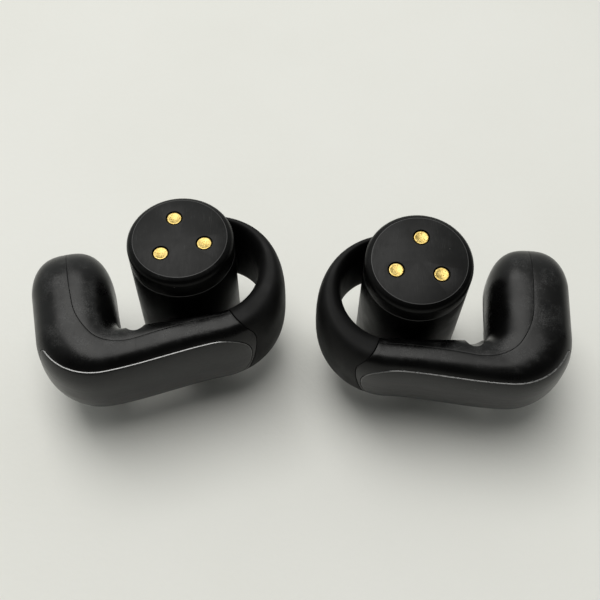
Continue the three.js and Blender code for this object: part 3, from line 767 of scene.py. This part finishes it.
# ---------------------------------------------------------------- materials
class Surface:
    """A procedural material on a Principled shader. Places in its textures are in millimetres."""

    def __init__(self, name):
        self.material = bpy.data.materials.new(name)
        self.material.use_nodes = True
        self.tree = self.material.node_tree
        self.shader = self.tree.nodes["Principled BSDF"]
        place = self.tree.nodes.new("ShaderNodeTexCoord").outputs["Object"]
        self.place = self.maths("VectorMath", "SCALE", place, Scale=1 / MM)

    def put(self, socket, value):
        if isinstance(value, bpy.types.NodeSocket):
            self.tree.links.new(value, socket)
        else:
            socket.default_value = value

    def node(self, kind, **inputs):
        made = self.tree.nodes.new("ShaderNode" + kind)
        for name, value in inputs.items():
            self.put(made.inputs[name.replace("_", " ")], value)
        return made

    def maths(self, kind, operation, *values, **named):
        made = self.tree.nodes.new("ShaderNode" + kind)
        made.operation = operation
        for k, value in enumerate(values):
            self.put(made.inputs[k], value)
        for name, value in named.items():
            self.put(made.inputs[name], value)
        return made.outputs[0]

    def times(self, a, b):
        return self.maths("Math", "MULTIPLY", a, b)

    def plus(self, a, b):
        return self.maths("Math", "ADD", a, b)

    def stretched(self, x=1.0, y=1.0, z=1.0):
        """The place, with each axis scaled, for streaks."""
        return self.maths("VectorMath", "MULTIPLY", self.place, (x, y, z))

    def noise(self, scale, detail=3.0, place=None, roughness=0.55):
        vector = self.place if place is None else place
        made = self.node("TexNoise", Vector=vector, Scale=scale, Detail=detail, Roughness=roughness)
        return made.outputs["Fac"]

    def ramp(self, value, low, high, start=0.0, end=1.0):
        """Start up to low, end from high, and a smooth step between."""
        made = self.node("MapRange", Value=value, From_Min=low, From_Max=high, To_Min=start, To_Max=end)
        made.interpolation_type = "SMOOTHSTEP"
        return made.outputs["Result"]

    def mix(self, share, a, b):
        """A colour between two."""
        made = self.tree.nodes.new("ShaderNodeMix")
        made.data_type = "RGBA"
        for name, value in (("Factor", share), ("A", a), ("B", b)):
            sockets = [i for i in made.inputs if i.name == name and (name == "Factor" or i.type == "RGBA")]
            self.put(sockets[0], value)
        return made.outputs[2]

    def facing_up(self, most):
        """0 on faces that lean, up to most on level ones."""
        normal = self.tree.nodes.new("ShaderNodeNewGeometry").outputs["Normal"]
        return self.ramp(self.node("SeparateXYZ", Vector=normal).outputs["Z"], 0.75, 0.98, 0.0, most)

    def specks(self, spacing, size, share):
        """1 inside round dust specks of a few sizes, sparsely strewn."""
        cells = self.node("TexVoronoi", Vector=self.place, Scale=1 / spacing)
        draw = self.node("SeparateColor", Color=cells.outputs["Color"]).outputs[0]
        chosen = self.maths("Math", "LESS_THAN", draw, share)
        near = self.ramp(cells.outputs["Distance"], size / spacing * 0.6, size / spacing, 1.0, 0.0)
        return self.times(chosen, near)

    def bumps(self, *layers, bevel=0.0):
        """Heights in millimetres, one over the other, on top of the rounding of the piece's crisp edges."""
        normal = self.node("Bevel", Radius=bevel * MM).outputs["Normal"] if bevel else None
        for height, value in layers:
            made = self.node("Bump", Strength=1.0, Distance=height * MM, Height=value)
            if normal is not None:
                self.put(made.inputs["Normal"], normal)
            normal = made.outputs["Normal"]
        self.put(self.shader.inputs["Normal"], normal)

    def finish(self, color, roughness, metallic=0.0, **more):
        self.put(self.shader.inputs["Base Color"], color)
        self.put(self.shader.inputs["Roughness"], roughness)
        self.put(self.shader.inputs["Metallic"], metallic)
        for name, value in more.items():
            self.put(self.shader.inputs[name.replace("_", " ")], value)
        return self.material


def grey(value, warm=0.0):
    return (value * (1 + warm), value, value * (1 - warm), 1.0)


DUST = grey(0.42, 0.04)


def moulded_black(name, base, rough, scuff_and_sheen, gloss):
    """Satin moulded plastic: a fine grain, uneven gloss, hair scratches, dust, and pale patches on level tops that
    are partly rubbed wear, partly painted highlight.
    """
    m = Surface(name)
    cloud = m.noise(0.35, 4)
    grain = m.noise(9.0, 2)
    hairs = m.ramp(m.noise(1.1, 3, m.stretched(9.0, 0.5, 6.0), 0.7), 0.66, 0.74)
    # pale patches on level tops only: partly rubbed wear, partly painted highlight where the light falls on the
    # tops
    rub_and_sheen = m.times(m.ramp(m.noise(0.45, 5, roughness=0.7), 0.44, 0.66), m.facing_up(scuff_and_sheen))
    dust = m.specks(1.7, 0.055, 0.16)
    color = m.mix(cloud, grey(base * 0.8), grey(base * 1.25))
    # level tops lightened towards grey: painted highlight mixed with rubbed wear
    color = m.mix(m.times(rub_and_sheen, m.ramp(grain, 0.42, 0.6)), color, grey(0.06))
    color = m.mix(m.times(dust, 0.5), color, DUST)
    roughness = m.plus(m.ramp(cloud, 0.3, 0.7, rough - 0.05, rough + 0.06), m.times(rub_and_sheen, 0.12))
    roughness = m.plus(roughness, m.times(dust, 0.4))
    m.bumps((0.0035, grain), (0.004, hairs), (0.02, dust), bevel=0.06)
    return m.finish(color, roughness, Specular_IOR_Level=gloss)


def charging_face_black():
    """The charging face: satin plastic with fine straight rubbing marks, light blotches and dust, on a base
    lighter than the cap's sides that is painted light on a face that looks up.
    """
    m = Surface("charging_face_black")
    streaks = m.noise(2.2, 5, m.stretched(5.0, 0.35, 1.0), 0.65)
    blotch = m.noise(0.45, 4, roughness=0.6)
    dust = m.specks(0.9, 0.04, 0.1)
    marks = m.times(m.ramp(streaks, 0.5, 0.78), m.ramp(blotch, 0.35, 0.65))
    # a base lighter than the other black plastic: painted light on the face that looks up
    color = m.mix(m.ramp(blotch, 0.3, 0.75), grey(0.003), grey(0.008))
    color = m.mix(marks, color, grey(0.035))
    color = m.mix(m.times(dust, 0.6), color, DUST)
    roughness = m.plus(m.ramp(streaks, 0.3, 0.7, 0.4, 0.52), m.times(dust, 0.3))
    m.bumps((0.0025, m.noise(9.0, 2)), (0.003, streaks), (0.015, dust))
    return m.finish(color, roughness, Specular_IOR_Level=0.18)


def soft_black(name, base, rough):
    """Matte silicone: a very fine tooth, faint smears and clinging dust."""
    m = Surface(name)
    tooth = m.noise(14.0, 2)
    smear = m.noise(0.4, 5, m.stretched(1.0, 1.0, 0.5), 0.6)
    dust = m.specks(1.3, 0.05, 0.14)
    color = m.mix(m.ramp(smear, 0.35, 0.7), grey(base * 0.85), grey(base * 1.3))
    color = m.mix(m.times(dust, 0.45), color, DUST)
    m.bumps((0.004, tooth), (0.015, dust))
    return m.finish(color, m.ramp(smear, 0.3, 0.7, rough - 0.05, rough + 0.07), Specular_IOR_Level=0.15)


def coated_trim():
    """The trim plate's smooth dark grey coating, with a little flake and faint wiping marks."""
    m = Surface("coated_trim")
    flake = m.noise(16.0, 2)
    wipe = m.noise(0.8, 5, m.stretched(0.6, 0.6, 4.0), 0.65)
    dust = m.specks(1.9, 0.05, 0.12)
    color = m.mix(m.ramp(flake, 0.35, 0.7), grey(0.008, -0.03), grey(0.02, -0.03))
    color = m.mix(m.times(dust, 0.4), color, DUST)
    m.bumps((0.0015, flake), (0.0015, wipe))
    return m.finish(color, m.ramp(wipe, 0.35, 0.7, 0.28, 0.38), 0.2, Specular_IOR_Level=0.4)


def metal(name, dark, light, rough, scale, height, directional=1.0):
    """Plain or plated metal with mottled colour, uneven polish and a fine tooth."""
    m = Surface(name)
    blotch = m.noise(scale, 5, m.stretched(1.0, 1.0, directional), 0.6)
    tooth = m.noise(scale * 6, 3)
    color = m.mix(m.ramp(blotch, 0.32, 0.68), dark, light)
    pits = m.ramp(m.noise(scale * 3, 2), 0.62, 0.72)
    m.bumps((height, tooth), (height * 2, m.maths("Math", "SUBTRACT", 1.0, pits)))
    return m.finish(color, m.ramp(blotch, 0.3, 0.7, rough - 0.07, rough + 0.1), 1.0)


def solder_mask():
    """Circuit board: green mask over faint traces, with a speckle of vias."""
    m = Surface("solder_mask")
    traces = m.node("TexBrick", Vector=m.place, Scale=1.0, Mortar_Size=0.06, Brick_Width=1.4, Row_Height=0.5)
    vias = m.specks(0.9, 0.12, 0.35)
    color = m.mix(traces.outputs["Fac"], (0.008, 0.05, 0.025, 1), (0.012, 0.085, 0.04, 1))
    color = m.mix(vias, color, (0.6, 0.45, 0.2, 1))
    m.bumps((0.02, traces.outputs["Fac"]), (0.002, m.noise(9.0)))
    return m.finish(color, m.ramp(m.noise(2.0), 0.3, 0.7, 0.28, 0.42))


def amber_film():
    """Thin polymer film, lightly wrinkled, its colour darker in the wrinkles' troughs as painted shade."""
    m = Surface("amber_film")
    wrinkle = m.noise(1.4, 4)
    m.bumps((0.02, wrinkle))
    # amber darker in the wrinkles' troughs and lighter on their crests: painted shade
    color = m.mix(wrinkle, (0.35, 0.2, 0.05, 1), (0.55, 0.36, 0.12, 1))
    return m.finish(color, m.ramp(wrinkle, 0.3, 0.7, 0.25, 0.4), Coat_Weight=0.3)


def enamel():
    """Bundled enamelled wires: fine twisted copper ridges, the colour darker in the grooves between them as
    painted shade.
    """
    m = Surface("enamel")
    twist = m.node("TexWave", Vector=m.place, Scale=2.6, Distortion=0.6, Detail=1.0).outputs["Fac"]
    m.bumps((0.05, twist))
    # copper colour darker in the grooves and lighter on the ridges: painted shade and highlight
    color = m.mix(twist, (0.12, 0.035, 0.01, 1), (0.5, 0.19, 0.06, 1))
    return m.finish(color, m.ramp(twist, 0.2, 0.8, 0.45, 0.28), 0.6)


def paper_table():
    """The table: a pale, faintly mottled matt surface."""
    m = Surface("paper_table")
    mottle = m.noise(0.02, 5, roughness=0.6)
    grain = m.noise(1.5, 4)
    color = m.mix(m.ramp(mottle, 0.3, 0.7), (0.775, 0.775, 0.735, 1), (0.8, 0.8, 0.765, 1))
    m.bumps((0.02, grain))
    return m.finish(color, m.ramp(grain, 0.3, 0.7, 0.62, 0.75), Specular_IOR_Level=0.25)


MATERIALS = {
    "satin_black": moulded_black("moulded_black", 0.0018, 0.3, 0.6, 0.22),
    # the barrel's copy of the satin black, darker and less glossy: painted shade on the barrel's sides
    "barrel_black": moulded_black("barrel_black", 0.001, 0.36, 0.3, 0.12),
    # a much lighter copy of the black plastic for crisp edges: painted highlight
    "painted_edge_highlight": moulded_black("painted_edge_highlight", 0.07, 0.4, 0.4, 0.25),
    "anchor_black": moulded_black("filled_black", 0.016, 0.5, 0.2, 0.25),
    "charging_face": charging_face_black(),
    "silicone": soft_black("silicone_black", 0.005, 0.56),
    "soft_seal": soft_black("seal_black", 0.02, 0.7),
    "trim_grey": coated_trim(),
    "bright_edge": metal("bright_edge", grey(0.16), grey(0.22), 0.3, 2.0, 0.001),
    "gold": metal("gold_plate", (0.38, 0.265, 0.075, 1), (0.6, 0.46, 0.17, 1), 0.34, 3.2, 0.016),
    "steel": metal("plain_steel", grey(0.34), grey(0.5), 0.34, 1.2, 0.002, 8.0),
    "nickel_magnet": metal("nickel_plate", grey(0.5, 0.03), grey(0.66, 0.03), 0.2, 0.8, 0.001),
    "mesh_black": metal("mesh_black", grey(0.02), grey(0.05), 0.38, 5.0, 0.002),
    "spring_wire": metal("spring_wire", grey(0.26, 0.1), grey(0.42, 0.06), 0.3, 2.0, 0.002),
    "circuit_board": solder_mask(),
    "amber_film": amber_film(),
    "enamel_cable": enamel(),
}

# ---------------------------------------------------------------- assembly
RECORD_SLOTS = {row["node"]: row["material_slot"] for row in frame["record"]["subparts"]}


def install(obj, side, node, slot, body=None, others=()):
    """Gives a piece its finishes and its body. A piece without a body of its own has its placing baked into its
    mesh.
    """
    numbers = [polygon.material_index for polygon in obj.data.polygons]
    obj.data.materials.clear()
    for finish in (slot, *others):
        obj.data.materials.append(MATERIALS[finish])
    obj.data.polygons.foreach_set("material_index", numbers)
    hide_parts(f"{side}_{node}")
    if body:
        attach(obj, f"{side}_{body}")
    else:
        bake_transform(obj)


def mark_faces(obj, side, above, beyond, number):
    """Gives the faces above a height and beyond a distance from the axis another of the piece's materials."""
    to_bud = BUD[side].inverted()
    for polygon in obj.data.polygons:
        x, y, z = to_bud @ polygon.center
        if z > above and math.hypot(x, y) > beyond:
            polygon.material_index = number


def build_earbud(side):
    shell, cap = barrel_shell(side), charging_cap(side)
    install(shell, side, "barrel_shell", "barrel_black", "barrel", ("painted_edge_highlight",))
    # the barrel's rounded rim at the cap's seam gets the painted edge highlight
    mark_faces(shell, side, CAP_LOW - SEAM / 2 - 0.65 * BARREL["lip"], BARREL["radius"] - BARREL["lip"], 1)
    install(cap, side, "charging_cap", "barrel_black", "barrel", ("charging_face", "painted_edge_highlight"))
    # the charging face, a lighter copy of the black plastic: painted light
    mark_faces(cap, side, BARREL["length"] - 0.005, 0, 1)
    # the crisp ring round the charging face gets the painted edge highlight
    mark_faces(cap, side, BARREL["length"] - CAP["bevel"] + 0.005, CAP["flat"], 2)
    for number, place in enumerate(contact_places(), 1):
        install(contact_pin(side, number, place), side, f"contact_pin_{number}", "gold", "barrel")
    install(button_cap(side), side, "button_cap", "satin_black", "button")
    install(outer_housing(side), side, "outer_housing", "satin_black", "speaker")
    install(inner_cover(side), side, "inner_cover", "satin_black", "speaker")
    install(trim_plate(side), side, "trim_plate", "trim_grey", "speaker", ("bright_edge",))
    install(woven_mesh(side), side, "nozzle_mesh", "mesh_black", "speaker")
    install(arm_sleeve(side), side, "arm_sleeve", "silicone")
    install(rod("arm_spring_fine", side, WIRE["spread"]), side, "arm_spring", "spring_wire")
    install(rod("arm_cable_fine", side, -WIRE["spread"]), side, "arm_cable", "enamel_cable")


def finish_cad_nodes():
    """Gives every CAD node that is still shown the procedural material of its slot."""
    for name, node in frame["nodes"].items():
        slot = "anchor_black" if name.endswith("arm_anchor") else RECORD_SLOTS[name]
        node.data.materials.clear()
        node.data.materials.append(MATERIALS[slot])


for side in SIDES:
    build_earbud(side)
finish_cad_nodes()


# ---------------------------------------------------------------- table, light and camera
def add_table():
    """A square tabletop, 3 m each way."""
    bpy.ops.mesh.primitive_plane_add(size=3.0)
    table = bpy.context.object
    table.name = "table"
    table.data.materials.append(paper_table())


def add_softbox(name, place, size, power, tint):
    """A soft light that faces the object, given by its width, its height and its power."""
    data = bpy.data.lights.new(name, "AREA")
    data.shape = "RECTANGLE"
    data.size, data.size_y = size
    data.energy = power
    data.color = tint
    light = bpy.data.objects.new(name, data)
    light.location = place
    middle = Vector((0, 0, 0.008))
    light.rotation_euler = (middle - Vector(place)).to_track_quat("-Z", "Y").to_euler()
    bpy.context.scene.collection.objects.link(light)


def add_room():
    """A soft room that is brightest beyond the object and dim on the camera's side."""
    world = bpy.data.worlds.new("room")
    world.use_nodes = True
    tree = world.node_tree
    background = tree.nodes["Background"]
    towards = tree.nodes.new("ShaderNodeVectorMath")
    towards.operation = "DOT_PRODUCT"
    towards.inputs[1].default_value = Vector((-0.3, 0.9, 0.3)).normalized()
    tree.links.new(tree.nodes.new("ShaderNodeTexCoord").outputs["Generated"], towards.inputs[0])
    level = tree.nodes.new("ShaderNodeMapRange")
    level.interpolation_type = "SMOOTHSTEP"
    for name, value in (("From Min", -0.35), ("From Max", 1.0), ("To Min", 0.05), ("To Max", 0.8)):
        level.inputs[name].default_value = value
    tree.links.new(towards.outputs["Value"], level.inputs["Value"])
    tree.links.new(level.outputs["Result"], background.inputs["Strength"])
    background.inputs["Color"].default_value = (0.98, 1.0, 0.97, 1)
    bpy.context.scene.world = world


def add_light():
    """A dim room and one large window light from above and behind."""
    add_room()
    add_softbox("window", (-0.08, 0.15, 0.575), (0.34, 0.6), 2.65, (1.0, 0.99, 0.96))


def add_camera():
    """A 60 mm lens in front of the pair that looks steeply down at it."""
    target = Vector((0.066, 3.427, 8.0)) * MM
    elevation, distance = math.radians(57.77), 118.0 * MM
    data = bpy.data.cameras.new("camera")
    data.lens = 60
    data.sensor_width = 36
    data.clip_start = 0.005
    camera = bpy.data.objects.new("camera", data)
    back = Vector((0, -math.cos(elevation), math.sin(elevation)))
    camera.location = target + back * distance
    camera.rotation_euler = (-back).to_track_quat("-Z", "Y").to_euler()
    bpy.context.scene.collection.objects.link(camera)
    bpy.context.scene.camera = camera


add_table()
add_light()
add_camera()
bpy.context.scene.view_settings.view_transform = "Standard"
